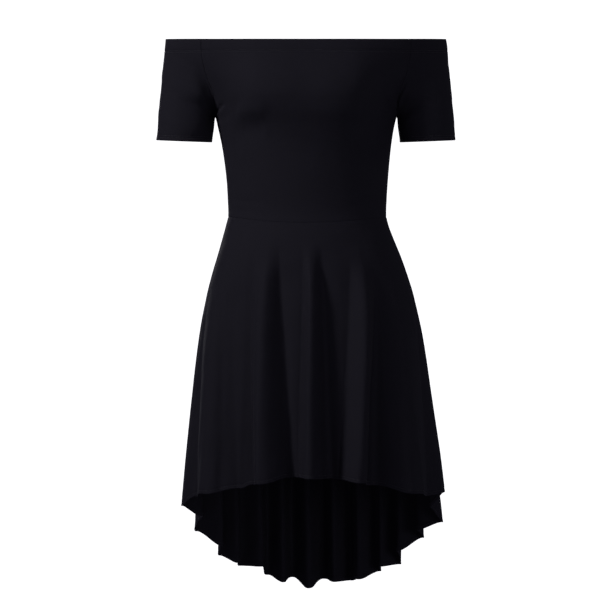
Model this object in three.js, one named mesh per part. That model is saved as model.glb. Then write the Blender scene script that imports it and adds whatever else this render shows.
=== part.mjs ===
// An off-shoulder dress in black stretch jersey, filled out as it is when worn: a close bodice,
// short sleeves that run up into the neckline, and a flared skirt cut short in front and long
// behind. Every panel is a wall of cloth, with a narrow gap to the panel it is sewn to.
// Millimetres, +Z up, the front towards -Y. Left and right are the wearer's, so left is +X.
// The origin is the centre of the neckline loop, at half the height of its elastic casing.
import * as THREE from "three";
import { mergeVertices } from "three/addons/utils/BufferGeometryUtils.js";

// Driving dimensions. A drop is measured straight down from the neckline's edge over the arms.
const CLOTH = 1.5; // wall of a single layer
const SEAM_GAP = 0.3; // between two panels that are sewn together
const CASING_HEIGHT = 20; // the neckline's turned edge, which holds the elastic
const CASING_WALL = 2.8;
const NECKLINE_DIP = 10; // centre front and back of the neckline below its edge over the arms
const UNDERARM_DROP = 127;
const CUFF = { drop: 168, hem: 7, wall: 2.2, lowerInFront: 2.8, lowerInside: 1.8 };
const WAIST_DROP = 292;
const WAIST_DIP = 12; // centre front of the waist seam below its sides
const SKIRT_HEM = { height: 8, wall: 1.9 };
const BUST = { drop: 93, side: 79, height: 19, outer: 42, inner: 105, above: 62 };
// Below the bust the cloth falls in steeply on the wearer's right, gently on the left.
const BUST_BELOW = { right: 44, left: 92, from: -75, to: 25 };
const BETWEEN_CUPS = 22; // how far either side of centre front the cloth rounds over

// Level sections of the whole dress, between its folds. Above the underarm, halfWidth is that
// of the loop which the neckline makes round body and arms.
const BODY = [
  { drop: 0, halfWidth: 229.5, front: 106, back: 94, shift: 0 },
  { drop: 33, halfWidth: 216, front: 109, back: 96, shift: 0 },
  { drop: 59, halfWidth: 196, front: 112, back: 97, shift: 0 },
  { drop: 82, halfWidth: 175, front: 114, back: 97, shift: 0 },
  { drop: 98, halfWidth: 162, front: 115, back: 96, shift: 0 },
  { drop: 112, halfWidth: 153.5, front: 114, back: 95, shift: 0 },
  { drop: 127, halfWidth: 148.8, front: 112, back: 93, shift: 0 },
  { drop: 147, halfWidth: 144, front: 107, back: 90, shift: 0 },
  { drop: 179, halfWidth: 138.2, front: 101, back: 85, shift: 1 },
  { drop: 228, halfWidth: 132.6, front: 96, back: 80, shift: 2 },
  { drop: 270, halfWidth: 130, front: 92, back: 78, shift: 2 },
  { drop: 290, halfWidth: 129.8, front: 92, back: 79, shift: 2 },
  { drop: 306, halfWidth: 133.4, front: 95, back: 84, shift: 2 },
  { drop: 325, halfWidth: 139.6, front: 101, back: 93, shift: 3 },
  { drop: 357, halfWidth: 150.7, front: 110, back: 106, shift: 5 },
  { drop: 390, halfWidth: 161.3, front: 119, back: 118, shift: 6 },
  { drop: 422, halfWidth: 169.8, front: 127, back: 129, shift: 7 },
  { drop: 487, halfWidth: 180.8, front: 140, back: 146, shift: 8 },
  { drop: 584, halfWidth: 190.5, front: 156, back: 166, shift: 9 },
  { drop: 713, halfWidth: 201, front: 173, back: 186, shift: 11 },
  { drop: 920, halfWidth: 211, front: 196, back: 205, shift: 11 },
];

// How far out from the middle of the dress the armhole seam lies, down to the underarm.
const ARMHOLE = [
  { drop: 0, out: 171 },
  { drop: 33, out: 170 },
  { drop: 59, out: 165 },
  { drop: 82, out: 156 },
  { drop: 98, out: 150.8 },
  { drop: 112, out: 148.5 },
  { drop: 127, out: 148.8 },
];

// Level sections of the sleeve's tube round the arm, and how far each level has turned from
// the neckline's loop into that tube.
const SLEEVE = [
  { drop: 0, tube: 0, inside: 148.8, outside: 242, halfDepth: 47 },
  { drop: 33, tube: 0.27, inside: 148.8, outside: 242, halfDepth: 47 },
  { drop: 66, tube: 0.56, inside: 148.8, outside: 242, halfDepth: 47 },
  { drop: 98, tube: 0.8, inside: 148.8, outside: 242, halfDepth: 47 },
  { drop: 127, tube: 1, inside: 148.8, outside: 242, halfDepth: 47 },
  { drop: 168, tube: 1, inside: 153.5, outside: 244.5, halfDepth: 46 },
];

// The skirt's folds, from one side seam to the other. Each row is the line of a ridge (reach
// above 0) or of a hollow (below 0): its angle from centre front at the waist and at the hem,
// the drop where it starts, how far it stands out at the hem, and the hem's drop there.
const FRONT_FOLDS = [
  { waist: -90, hem: -90, start: 380, reach: 12, drop: 765 },
  { waist: -79, hem: -74, start: 420, reach: -8, drop: 746 },
  { waist: -70, hem: -54, start: 370, reach: 13, drop: 738 },
  { waist: -50, hem: -41, start: 345, reach: -22, drop: 729 },
  { waist: -37, hem: -31.5, start: 335, reach: -25, drop: 722 },
  { waist: -27, hem: -24, start: 330, reach: 12, drop: 719 },
  { waist: -20, hem: -10.5, start: 322, reach: -28, drop: 709 },
  { waist: -3, hem: -8, start: 330, reach: -24, drop: 709 },
  { waist: 1, hem: -2, start: 325, reach: 12, drop: 710 },
  { waist: 7.5, hem: 9.5, start: 322, reach: -28, drop: 711 },
  { waist: 27, hem: 12.5, start: 335, reach: -24, drop: 712 },
  { waist: 35, hem: 20.5, start: 335, reach: 13, drop: 717 },
  { waist: 43, hem: 33, start: 350, reach: -27, drop: 723 },
  { waist: 62, hem: 50, start: 400, reach: 11, drop: 737 },
  { waist: 77, hem: 72, start: 430, reach: -9, drop: 745 },
  { waist: 90, hem: 90, start: 400, reach: 14, drop: 742 },
];
const BACK_FOLDS = [
  { waist: 90, hem: 90, start: 400, reach: 14, drop: 742 },
  { waist: 98, hem: 97, start: 400, reach: -10, drop: 768 },
  { waist: 106, hem: 104, start: 380, reach: 16, drop: 796 },
  { waist: 113, hem: 114, start: 350, reach: -15, drop: 810 },
  { waist: 120, hem: 123, start: 360, reach: 16, drop: 827 },
  { waist: 127, hem: 131, start: 340, reach: -17, drop: 849 },
  { waist: 134, hem: 138.5, start: 345, reach: 16, drop: 876 },
  { waist: 141, hem: 144, start: 330, reach: -15, drop: 879 },
  { waist: 148, hem: 149, start: 350, reach: 15, drop: 890 },
  { waist: 156, hem: 156, start: 335, reach: -19, drop: 902 },
  { waist: 163, hem: 163, start: 340, reach: 16, drop: 908 },
  { waist: 170, hem: 169, start: 330, reach: -18, drop: 908 },
  { waist: 177, hem: 175, start: 345, reach: 16, drop: 906 },
  { waist: 184, hem: 182, start: 330, reach: -20, drop: 919 },
  { waist: 191, hem: 189, start: 340, reach: 17, drop: 903 },
  { waist: 198, hem: 195, start: 335, reach: -19, drop: 908 },
  { waist: 205, hem: 200, start: 350, reach: 15, drop: 898 },
  { waist: 212, hem: 207, start: 340, reach: -18, drop: 880 },
  { waist: 219, hem: 214, start: 345, reach: 14, drop: 880 },
  { waist: 226, hem: 220, start: 330, reach: -13, drop: 872 },
  { waist: 232, hem: 225, start: 350, reach: 15, drop: 860 },
  { waist: 240, hem: 233, start: 345, reach: -17, drop: 840 },
  { waist: 248, hem: 241, start: 360, reach: 17, drop: 815 },
  { waist: 259, hem: 255, start: 390, reach: -14, drop: 785 },
  { waist: 270, hem: 270, start: 380, reach: 12, drop: 765 },
];
// How folds open from their start to the hem: above 1 late, below 1 early.
const FOLD_GROWTH = { sides: 1.2, middle: 0.5 };

// How finely each panel is divided.
const ARMHOLE_ROWS = 8;
const SIDE_ROWS = 7;
const CUFF_ROWS = 2;
const SKIRT_ROWS = 11;
const BODICE_COLUMNS = { front: 30, back: 22 };
const SLEEVE_COLUMNS = 28;
const FOLD_COLUMNS = { front: 5, back: 4 }; // between one ridge and the next hollow

const QUARTER_TURN = Math.PI / 2;
const mix = THREE.MathUtils.lerp;
const degrees = THREE.MathUtils.degToRad;

// Reads one column of a table of sections at any drop, on a smooth curve through its rows.
function read(table, key, drop) {
  const last = table.length - 2;
  const next = table.findIndex((row) => row.drop > drop);
  const i = next < 0 ? last : THREE.MathUtils.clamp(next - 1, 0, last);
  const slope = (n) => {
    const above = table[Math.max(n - 1, 0)];
    const below = table[Math.min(n + 1, table.length - 1)];
    return (below[key] - above[key]) / (below.drop - above.drop);
  };
  const span = table[i + 1].drop - table[i].drop;
  const t = THREE.MathUtils.clamp((drop - table[i].drop) / span, 0, 1);
  const ease = t * t * (3 - 2 * t);
  const leave = t * (1 - t) * (1 - t) * span * slope(i);
  const arrive = t * t * (t - 1) * span * slope(i + 1);
  return mix(table[i][key], table[i + 1][key], ease) + leave + arrive;
}

// A point at an angle from centre front on the dress's level section, stood out by reach.
function bodyPoint(drop, angle, reach = 0) {
  const halfWidth = read(BODY, "halfWidth", drop);
  const halfDepth = read(BODY, Math.cos(angle) > 0 ? "front" : "back", drop);
  const out = new THREE.Vector2(Math.sin(angle) / halfWidth, -Math.cos(angle) / halfDepth);
  out.setLength(reach);
  return new THREE.Vector3(
    read(BODY, "shift", drop) + halfWidth * Math.sin(angle) + out.x,
    -halfDepth * Math.cos(angle) + out.y,
    CASING_HEIGHT / 2 - drop,
  );
}

// The angle, either way from centre front or centre back, of the armhole or side seam.
function seamAngle(drop) {
  if (drop >= UNDERARM_DROP) return QUARTER_TURN;
  return Math.asin(Math.min(read(ARMHOLE, "out", drop) / read(BODY, "halfWidth", drop), 1));
}

// How far the neckline's dip lowers the cloth, at an angle on its loop and a drop below it.
function dip(angle, drop) {
  return NECKLINE_DIP * Math.abs(Math.cos(angle)) * Math.max(1 - drop / UNDERARM_DROP, 0);
}

// Drops down the seam edge of a bodice panel or sleeve: the casing's lower edge, then closer
// together towards the underarm, where the armhole turns fastest.
function armholeDrops() {
  const first = CASING_HEIGHT / UNDERARM_DROP;
  const drops = [0, CASING_HEIGHT];
  for (let row = 1; row <= ARMHOLE_ROWS; row++) {
    const turn = mix(Math.asin(first), QUARTER_TURN, row / ARMHOLE_ROWS);
    drops.push(UNDERARM_DROP * Math.sin(turn));
  }
  drops.splice(2, 0, CASING_HEIGHT + 1);
  return drops;
}

// Moves the first and last point of each row of points back from the seam.
function pullBack(rows, distance) {
  for (const row of rows) {
    for (const [edge, next] of [[0, 1], [row.length - 1, row.length - 2]]) {
      const along = row[next].clone().sub(row[edge]).setLength(distance);
      row[edge].add(along);
    }
  }
  return rows;
}

// How far the bust stands out of the front at this place. Close jersey spans between the cups.
function bustHeight(point, drop) {
  const aside = Math.hypot(point.x, BETWEEN_CUPS) - BUST.side;
  const across = aside / (aside > 0 ? BUST.outer : BUST.inner);
  const shift = (point.x - BUST_BELOW.from) / (BUST_BELOW.to - BUST_BELOW.from);
  const toLeft = Math.min(Math.max(shift, 0), 1);
  const below = mix(BUST_BELOW.right, BUST_BELOW.left, toLeft * toLeft * (3 - 2 * toLeft));
  const along = (drop - BUST.drop) / (drop < BUST.drop ? BUST.above : below);
  return BUST.height * Math.exp(-across * across - along * along);
}

// One of the two bodice panels, from seam to seam. centre is its angle from centre front.
function bodiceRows(centre, columns, waistDip) {
  const seamDrops = armholeDrops();
  const below = seamDrops.length - 1;
  for (let row = 1; row <= SIDE_ROWS; row++) {
    seamDrops.push(mix(UNDERARM_DROP, WAIST_DROP, row / SIDE_ROWS));
  }
  const rows = seamDrops.map((seamDrop, row) => {
    const points = [];
    for (let column = 0; column <= columns; column++) {
      const across = (2 * column) / columns - 1;
      const middle = Math.cos(across * QUARTER_TURN) ** 2;
      const toWaist = Math.max(row - below, 0) / SIDE_ROWS;
      const drop =
        seamDrop + dip(across * seamAngle(0), seamDrop) + waistDip * middle * toWaist;
      const point = bodyPoint(drop, centre + across * seamAngle(seamDrop));
      if (centre === 0) point.y -= bustHeight(point, drop) * Math.sqrt(middle);
      points.push(point);
    }
    return points;
  });
  for (const point of rows.at(-1)) point.z += SEAM_GAP / 2;
  return pullBack(rows, SEAM_GAP / 2);
}

// A point on the left sleeve. around runs from 0 at the underarm or front armhole seam, over
// the outside of the arm at a half, to 1 at the back armhole seam or the underarm again.
function sleevePoint(around, seamDrop) {
  const level = Math.min(seamDrop, UNDERARM_DROP);
  const toSeam = Math.abs(1 - 2 * around);
  const fromFront = (angle) => (around < 0.5 ? angle : 2 * QUARTER_TURN - angle);
  const loopAngle = mix(QUARTER_TURN, seamAngle(0), toSeam);
  const onLoop = bodyPoint(0, fromFront(loopAngle));
  const inside = read(SLEEVE, "inside", seamDrop);
  const outside = read(SLEEVE, "outside", seamDrop);
  const turn = around * 4 * QUARTER_TURN;
  const onTube = new THREE.Vector3(
    (outside + inside) / 2 - ((outside - inside) / 2) * Math.cos(turn),
    -read(SLEEVE, "halfDepth", seamDrop) * Math.sin(turn),
    0,
  );
  const tube = Math.min(read(SLEEVE, "tube", seamDrop), 1);
  const point = onLoop.lerp(onTube, tube);
  if (seamDrop < UNDERARM_DROP) {
    const seamDip = dip(seamAngle(0), level);
    const seamPoint = bodyPoint(level + seamDip, fromFront(seamAngle(level)));
    const plain = bodyPoint(0, fromFront(seamAngle(0)));
    plain.lerp(new THREE.Vector3(inside, 0, 0), tube);
    const nearSeam = Math.max(0, (toSeam - 0.35) / 0.65) ** 2;
    point.addScaledVector(seamPoint.sub(plain), nearSeam);
  }
  const toCuff = Math.max(seamDrop - UNDERARM_DROP, 0) / (CUFF.drop - UNDERARM_DROP);
  const lean = CUFF.lowerInFront * Math.sin(turn) + CUFF.lowerInside * Math.cos(turn);
  point.z = CASING_HEIGHT / 2 - seamDrop - dip(loopAngle, level) - lean * toCuff;
  return point;
}

// The sleeve on one side: 1 for the wearer's left, -1 for the right.
function sleeveRows(side) {
  const drops = armholeDrops();
  for (let row = 1; row < CUFF_ROWS; row++) {
    drops.push(mix(UNDERARM_DROP, CUFF.drop - CUFF.hem, row / CUFF_ROWS));
  }
  drops.push(CUFF.drop - CUFF.hem, CUFF.drop - CUFF.hem + 1, CUFF.drop);
  return drops.map((drop) => {
    const points = [];
    for (let column = 0; column <= SLEEVE_COLUMNS; column++) {
      const point = sleevePoint(column / SLEEVE_COLUMNS, drop);
      point.x = side * (point.x + SEAM_GAP);
      points.push(point);
    }
    return side > 0 ? points : points.reverse();
  });
}

// How far a fold's line stands out of the skirt at this drop.
function standOut(fold, drop, hemDrop, growth) {
  const open = (drop - fold.start) / (hemDrop - fold.start);
  return fold.reach * Math.max(open, 0) ** growth;
}

// One of the two skirt panels. Its columns follow the folds, some between each two lines.
function skirtRows(folds, columnsEach, waistDip) {
  const rows = [];
  const hemRows = 2;
  for (let row = 0; row <= SKIRT_ROWS + hemRows; row++) rows.push([]);
  folds.slice(0, -1).forEach((fold, i) => {
    const next = folds[i + 1];
    const closing = i === folds.length - 2 ? 1 : 0;
    for (let column = 0; column < columnsEach + closing; column++) {
      const between = column / columnsEach;
      const wave = (1 - Math.cos(between * Math.PI)) / 2;
      const hemDrop = mix(fold.drop, next.drop, wave);
      const waistAngle = degrees(mix(fold.waist, next.waist, between));
      const hemAngle = degrees(mix(fold.hem, next.hem, between));
      const waistDrop = WAIST_DROP + SEAM_GAP / 2 + waistDip * Math.cos(waistAngle) ** 2;
      const growth = mix(FOLD_GROWTH.sides, FOLD_GROWTH.middle, Math.cos(hemAngle) ** 2);
      rows.forEach((points, row) => {
        const down = Math.min(row / SKIRT_ROWS, 1);
        let drop = mix(waistDrop, hemDrop - SKIRT_HEM.height, down);
        if (row > SKIRT_ROWS) drop = row === rows.length - 1 ? hemDrop : drop + 1;
        const whole = (drop - waistDrop) / (hemDrop - waistDrop);
        const angle = mix(waistAngle, hemAngle, whole);
        const here = standOut(fold, drop, hemDrop, growth);
        const beyond = standOut(next, drop, hemDrop, growth);
        const reach = mix(here, beyond, wave);
        points.push(bodyPoint(drop, angle, reach));
      });
    }
  });
  return pullBack(rows, SEAM_GAP / 2);
}

// The direction out of the cloth at one point of a grid of points. A welded row closes on
// itself, and its slope is read from the rows that are welded too. At a side seam the direction
// lies in the seam's own plane, so that the two panels meet squarely.
function outwards(rows, row, column, isWelded, sideSeamFrom) {
  const points = rows[row];
  const last = points.length - 1;
  const left = column > 0 ? column - 1 : isWelded(row) ? last - 1 : 0;
  const right = column < last ? column + 1 : isWelded(row) ? 1 : last;
  const above = row > 0 && isWelded(row - 1) === isWelded(row) ? row - 1 : row;
  const below = Math.min(row + 1, rows.length - 1);
  const across = points[right].clone().sub(points[left]);
  const down = rows[below][column].clone().sub(rows[above][column]);
  const out = down.cross(across);
  if (row >= sideSeamFrom && (column === 0 || column === last)) out.y = 0;
  return out.normalize();
}

// Closes a grid of outside points into a wall. Rows run down, and columns run to the right as
// seen from outside. wall(row) is the thickness, inwards.
function clothWall(outer, wall, sideSeamFrom, isWelded = () => false) {
  const inner = outer.map((points, row) =>
    points.map((point, column) => {
      const out = outwards(outer, row, column, isWelded, sideSeamFrom);
      return point.clone().addScaledVector(out, -wall(row));
    }),
  );
  const corners = [];
  const quad = (a, b, c, d) => corners.push(a, b, c, a, c, d);
  const lastRow = outer.length - 1;
  const lastColumn = outer[0].length - 1;
  for (let r = 0; r < lastRow; r++) {
    for (let c = 0; c < lastColumn; c++) {
      quad(outer[r][c], outer[r + 1][c], outer[r + 1][c + 1], outer[r][c + 1]);
      quad(inner[r][c], inner[r][c + 1], inner[r + 1][c + 1], inner[r + 1][c]);
    }
    if (isWelded(r)) continue;
    const [top, bottom] = [r, r + 1];
    quad(outer[bottom][0], outer[top][0], inner[top][0], inner[bottom][0]);
    quad(
      outer[top][lastColumn],
      outer[bottom][lastColumn],
      inner[bottom][lastColumn],
      inner[top][lastColumn],
    );
  }
  for (let c = 0; c < lastColumn; c++) {
    quad(outer[0][c], outer[0][c + 1], inner[0][c + 1], inner[0][c]);
    quad(outer[lastRow][c + 1], outer[lastRow][c], inner[lastRow][c], inner[lastRow][c + 1]);
  }
  const geometry = mergeVertices(new THREE.BufferGeometry().setFromPoints(corners), 1e-3);
  geometry.computeVertexNormals();
  return geometry;
}

const jersey = { color: 0x16151a, roughness: 0.86, metalness: 0 };
const dress = new THREE.Group();

function addPanel(name, geometry) {
  const mesh = new THREE.Mesh(geometry, new THREE.MeshStandardMaterial(jersey));
  mesh.name = name;
  dress.add(mesh);
}

// Bodice: front and back, with the casing turned in along the neckline.
const underarmRow = armholeDrops().length - 1;
const bodiceWall = (row) => (row < 2 ? CASING_WALL : CLOTH);
const bodiceFront = bodiceRows(0, BODICE_COLUMNS.front, WAIST_DIP);
const bodiceBack = bodiceRows(2 * QUARTER_TURN, BODICE_COLUMNS.back, 0);
addPanel("bodice_front", clothWall(bodiceFront, bodiceWall, underarmRow));
addPanel("bodice_back", clothWall(bodiceBack, bodiceWall, underarmRow));

// Sleeves: open above the underarm, where they are sewn to the bodice, and a tube below it.
for (const [name, side] of [["sleeve_left", 1], ["sleeve_right", -1]]) {
  const rows = sleeveRows(side);
  const isHem = (row) => row >= rows.length - 2;
  const sleeveWall = (row) => (row < 2 ? CASING_WALL : isHem(row) ? CUFF.wall : CLOTH);
  addPanel(name, clothWall(rows, sleeveWall, Infinity, (row) => row >= underarmRow));
}

// Skirt: front and back, sewn to the bodice at the waist and to each other at the sides.
const skirtWall = (row) => (row > SKIRT_ROWS ? SKIRT_HEM.wall : CLOTH);
const skirtFront = skirtRows(FRONT_FOLDS, FOLD_COLUMNS.front, WAIST_DIP);
const skirtBack = skirtRows(BACK_FOLDS, FOLD_COLUMNS.back, 0);
addPanel("skirt_front", clothWall(skirtFront, skirtWall, 0));
addPanel("skirt_back", clothWall(skirtBack, skirtWall, 0));

export default dress;
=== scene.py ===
import math

import bpy
import numpy as np
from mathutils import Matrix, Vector


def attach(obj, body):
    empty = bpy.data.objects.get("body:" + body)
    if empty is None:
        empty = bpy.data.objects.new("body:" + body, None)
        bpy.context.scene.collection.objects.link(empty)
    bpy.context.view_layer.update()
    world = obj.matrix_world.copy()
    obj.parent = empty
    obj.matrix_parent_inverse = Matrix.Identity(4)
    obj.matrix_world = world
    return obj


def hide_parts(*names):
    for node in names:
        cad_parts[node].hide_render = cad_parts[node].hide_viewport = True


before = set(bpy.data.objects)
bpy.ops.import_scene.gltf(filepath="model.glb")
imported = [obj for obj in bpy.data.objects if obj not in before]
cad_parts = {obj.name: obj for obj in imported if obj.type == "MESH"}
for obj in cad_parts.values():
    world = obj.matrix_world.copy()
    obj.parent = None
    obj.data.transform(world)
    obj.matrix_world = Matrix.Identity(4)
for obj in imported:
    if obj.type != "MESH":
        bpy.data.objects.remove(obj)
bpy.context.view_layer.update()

# Front bodice. One piece of black stretch jersey, close to the body, sewn to the sleeves along
# the armholes, to the back bodice down the sides and to the skirt at the waist. Its top edge is
# turned in over a 20 mm elastic and stitched down, as it is all round the neckline.
# Sizes in millimetres; a drop is measured straight down from the neckline's edge over the arms.
CASING = {
    "height": 20.0, "wall": 2.4, "puff": 0.3, "gather": 0.09, "gather_reach": 26.0,
    "stitches": (19.6, 22.8), "stitch_sink": 0.35, "stitch_width": 1.5, "rounding": 1.2,
}
JERSEY_WALL = 1.0
BODICE_WIDTHS = {"front": 340.0, "back": 330.0}
NECKLINE_DIP = 10.0
UNDERARM_DROP = 127.0
WAIST_DROP = 292.0
WAIST_DIP = 12.0
SEAM_GROOVE = {"depth": 0.85, "waist": 0.5, "width": 1.3, "pucker": 0.2, "pucker_width": 7.0}
# The bust stands out by its height and fades in these reaches. Below it the cloth falls steeply
# on the wearer's right and gently on the left, and changes over from one to the other.
BUST = {
    "drop": 93, "side": 79, "height": 19, "outer": 42, "inner": 105, "above": 62,
    "between": 22, "seam_ease": 38,
}
BUST_BELOW = {"right": 44, "left": 92, "from": -75, "to": 25}
# Level sections of the dress: half its width, its depth in front of and behind the arms, and how
# far its middle is shifted to the wearer's left.
BODY_SECTIONS = [
    {"drop": 0, "half_width": 229.5, "front": 106, "back": 94, "shift": 0},
    {"drop": 33, "half_width": 216, "front": 109, "back": 96, "shift": 0},
    {"drop": 59, "half_width": 196, "front": 112, "back": 97, "shift": 0},
    {"drop": 82, "half_width": 175, "front": 114, "back": 97, "shift": 0},
    {"drop": 98, "half_width": 162, "front": 115, "back": 96, "shift": 0},
    {"drop": 112, "half_width": 153.5, "front": 114, "back": 95, "shift": 0},
    {"drop": 127, "half_width": 148.8, "front": 112, "back": 93, "shift": 0},
    {"drop": 147, "half_width": 144, "front": 107, "back": 90, "shift": 0},
    {"drop": 179, "half_width": 138.2, "front": 101, "back": 85, "shift": 1},
    {"drop": 228, "half_width": 132.6, "front": 96, "back": 80, "shift": 2},
    {"drop": 270, "half_width": 130, "front": 92, "back": 78, "shift": 2},
    {"drop": 290, "half_width": 129.8, "front": 92, "back": 79, "shift": 2},
    {"drop": 306, "half_width": 133.4, "front": 95, "back": 84, "shift": 2},
    {"drop": 325, "half_width": 139.6, "front": 101, "back": 93, "shift": 3},
    {"drop": 357, "half_width": 150.7, "front": 110, "back": 106, "shift": 5},
    {"drop": 390, "half_width": 161.3, "front": 119, "back": 118, "shift": 6},
    {"drop": 422, "half_width": 169.8, "front": 127, "back": 129, "shift": 7},
    {"drop": 487, "half_width": 180.8, "front": 140, "back": 146, "shift": 8},
    {"drop": 584, "half_width": 190.5, "front": 156, "back": 166, "shift": 9},
    {"drop": 713, "half_width": 201, "front": 173, "back": 186, "shift": 11},
    {"drop": 920, "half_width": 211, "front": 196, "back": 205, "shift": 11},
]
ARMHOLE_LINE = [
    {"drop": 0, "out": 171},
    {"drop": 33, "out": 170},
    {"drop": 59, "out": 165},
    {"drop": 82, "out": 156},
    {"drop": 98, "out": 150.8},
    {"drop": 112, "out": 148.5},
    {"drop": 127, "out": 148.8},
]


def read_sections(table, column, drop):
    """One column of a table of sections at any drops, on a smooth curve through its rows."""
    drops = np.array([row["drop"] for row in table], float)
    values = np.array([row[column] for row in table], float)
    last = len(drops) - 1
    i = np.clip(np.searchsorted(drops, drop, side="right") - 1, 0, last - 1)
    rows = np.arange(last + 1)
    above, below = np.maximum(rows - 1, 0), np.minimum(rows + 1, last)
    slopes = (values[below] - values[above]) / (drops[below] - drops[above])
    span = drops[i + 1] - drops[i]
    t = np.clip((drop - drops[i]) / span, 0, 1)
    ease = t * t * (3 - 2 * t)
    bend = t * (1 - t) * (1 - t) * slopes[i] + t * t * (t - 1) * slopes[i + 1]
    return values[i] + (values[i + 1] - values[i]) * ease + span * bend


def round_the_body(drop, angle, reach=0.0):
    """Points on the dress's level section at an angle from centre front, stood out by reach."""
    half_width = read_sections(BODY_SECTIONS, "half_width", drop)
    front = read_sections(BODY_SECTIONS, "front", drop)
    back = read_sections(BODY_SECTIONS, "back", drop)
    half_depth = np.where(np.cos(angle) > 0, front, back)
    out = np.stack([np.sin(angle) / half_width, -np.cos(angle) / half_depth])
    out = out / np.linalg.norm(out, axis=0)
    x = read_sections(BODY_SECTIONS, "shift", drop) + half_width * np.sin(angle)
    y = -half_depth * np.cos(angle)
    z = CASING["height"] / 2 - drop + 0 * angle
    return np.stack([x + reach * out[0], y + reach * out[1], z], axis=-1)


def seam_angle(drop):
    """The angle from centre front or back of the armhole seam, and below it of the side seam."""
    out = read_sections(ARMHOLE_LINE, "out", drop)
    half_width = read_sections(BODY_SECTIONS, "half_width", drop)
    on_armhole = np.arcsin(np.clip(out / half_width, 0, 1))
    return np.where(drop >= UNDERARM_DROP, math.pi / 2, on_armhole)


def neckline_dip(angle, drop):
    """How far the neckline's dip lowers the cloth at an angle on its loop."""
    return NECKLINE_DIP * np.abs(np.cos(angle)) * np.clip(1 - drop / UNDERARM_DROP, 0, 1)


def wander(along, period, phase):
    """An uneven wave between about -1 and 1, the same each time."""
    t = 2 * math.pi * along / period
    return (
        0.5 * np.sin(t + phase)
        + 0.3 * np.sin(1.73 * t + 2.1 * phase)
        + 0.2 * np.sin(2.91 * t + 3.7 * phase)
    )


def edge_spread(count, length=BODICE_WIDTHS["front"], edges=(0.0, 0.4, 0.9, 1.6, 2.6, 4.2, 6.6)):
    """Shares from 0 to 1 across a piece of this length, closer together at both edges."""
    near = np.array(edges) / length
    middle = np.linspace(near[-1], 1 - near[-1], count - 2 * (len(near) - 1))[1:-1]
    return np.concatenate([near, middle, 1 - near[::-1]])


def seam_sink(distance, along, phase, depth=SEAM_GROOVE["depth"]):
    """How far the cloth sinks into a seam at this distance from it, with a slight pucker."""
    groove = depth * np.exp(-((distance / SEAM_GROOVE["width"]) ** 2))
    near = np.exp(-((distance / SEAM_GROOVE["pucker_width"]) ** 2))
    return groove + SEAM_GROOVE["pucker"] * near * (1 + wander(along, 17.0, phase)) / 2


def casing_lift(below_edge, along, phase):
    """The turned and stitched casing: puffed by its elastic, drawn in at its stitches, and
    finely gathered, with the edge itself rounded over."""
    inside = np.clip(below_edge / CASING["height"], 0, 1)
    puff = CASING["puff"] * np.sin(math.pi * inside) ** 0.7
    below_casing = below_edge - CASING["height"]
    stitched = -CASING["stitch_sink"] * np.exp(-((below_casing / CASING["stitch_width"]) ** 2))
    fading = np.clip(1 - below_casing / CASING["gather_reach"], 0, 1) ** 2
    fading = np.where(below_casing < 0, 1.0, fading)
    gathers = CASING["gather"] * fading * (wander(along, 8.3, phase) - 0.2)
    to_edge = np.clip(1 - below_edge / CASING["rounding"], 0, 1)
    rounded = -CASING["rounding"] * (1 - np.sqrt(1 - to_edge**2))
    return puff + stitched + gathers + rounded


PULL_RIDGE = {"height": 0.45, "beside": 1.9, "width": 1.3}  # times the line's depth or width


def pull_lines(across, drop, lines):
    """Soft creases: each line is a trough with a low ridge beside it, fading at both ends."""
    lift = np.zeros(np.broadcast(across, drop).shape)
    for line in lines:
        start, end = np.array(line["start"], float), np.array(line["end"], float)
        run = end - start
        length = np.linalg.norm(run)
        run, side = run / length, np.array([-run[1], run[0]]) / length
        t = ((across - start[0]) * run[0] + (drop - start[1]) * run[1]) / length
        bow = line.get("bow", 0.0) * 4 * t * (1 - t)
        off = (across - start[0]) * side[0] + (drop - start[1]) * side[1] - bow
        fade = np.clip(t * 4 + 1 - line.get("sharp", 0.0), 0, 1) * np.clip((1.15 - t) * 2.2, 0, 1)
        fade = fade * fade * (3 - 2 * fade)
        width = line["width"]
        trough = -np.exp(-((off / width) ** 2))
        off_ridge = (off - PULL_RIDGE["beside"] * width) / (PULL_RIDGE["width"] * width)
        ridge = PULL_RIDGE["height"] * np.exp(-(off_ridge**2))
        lift = lift + line["depth"] * fade * (trough + ridge)
    return lift


def cloth_normals(points):
    """The direction out of a grid of points whose rows run down and whose columns run right."""
    across = np.gradient(points, axis=1)
    down = np.gradient(points, axis=0)
    out = np.cross(down, across)
    return out / np.maximum(np.linalg.norm(out, axis=-1, keepdims=True), 1e-9)


def sew_edge(outside, edge, line, rows=slice(None), ease=8.0):
    """Brings one edge of a piece onto the seam line it is sewn along, and eases the cloth
    beside it. The line is followed by its share of length where its points are not as many."""
    grid = outside.transpose(1, 0, 2) if edge == "top" else outside
    grid = grid[:, ::-1] if edge == "right" else grid
    part = grid[rows]  # a view, so that the piece itself is moved
    if len(line) != len(part):
        shares = []
        for run in (line, part[:, 0]):
            lengths = np.linalg.norm(np.diff(run, axis=0), axis=-1)
            shares.append(np.concatenate([[0], np.cumsum(lengths)]) / lengths.sum())
        line = np.stack([np.interp(shares[1], shares[0], line[:, i]) for i in range(3)], axis=-1)
    away = np.linalg.norm(part - part[:, :1], axis=-1)
    part += (line - part[:, 0])[:, None] * np.exp(-((away / ease) ** 2))[..., None]


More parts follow.
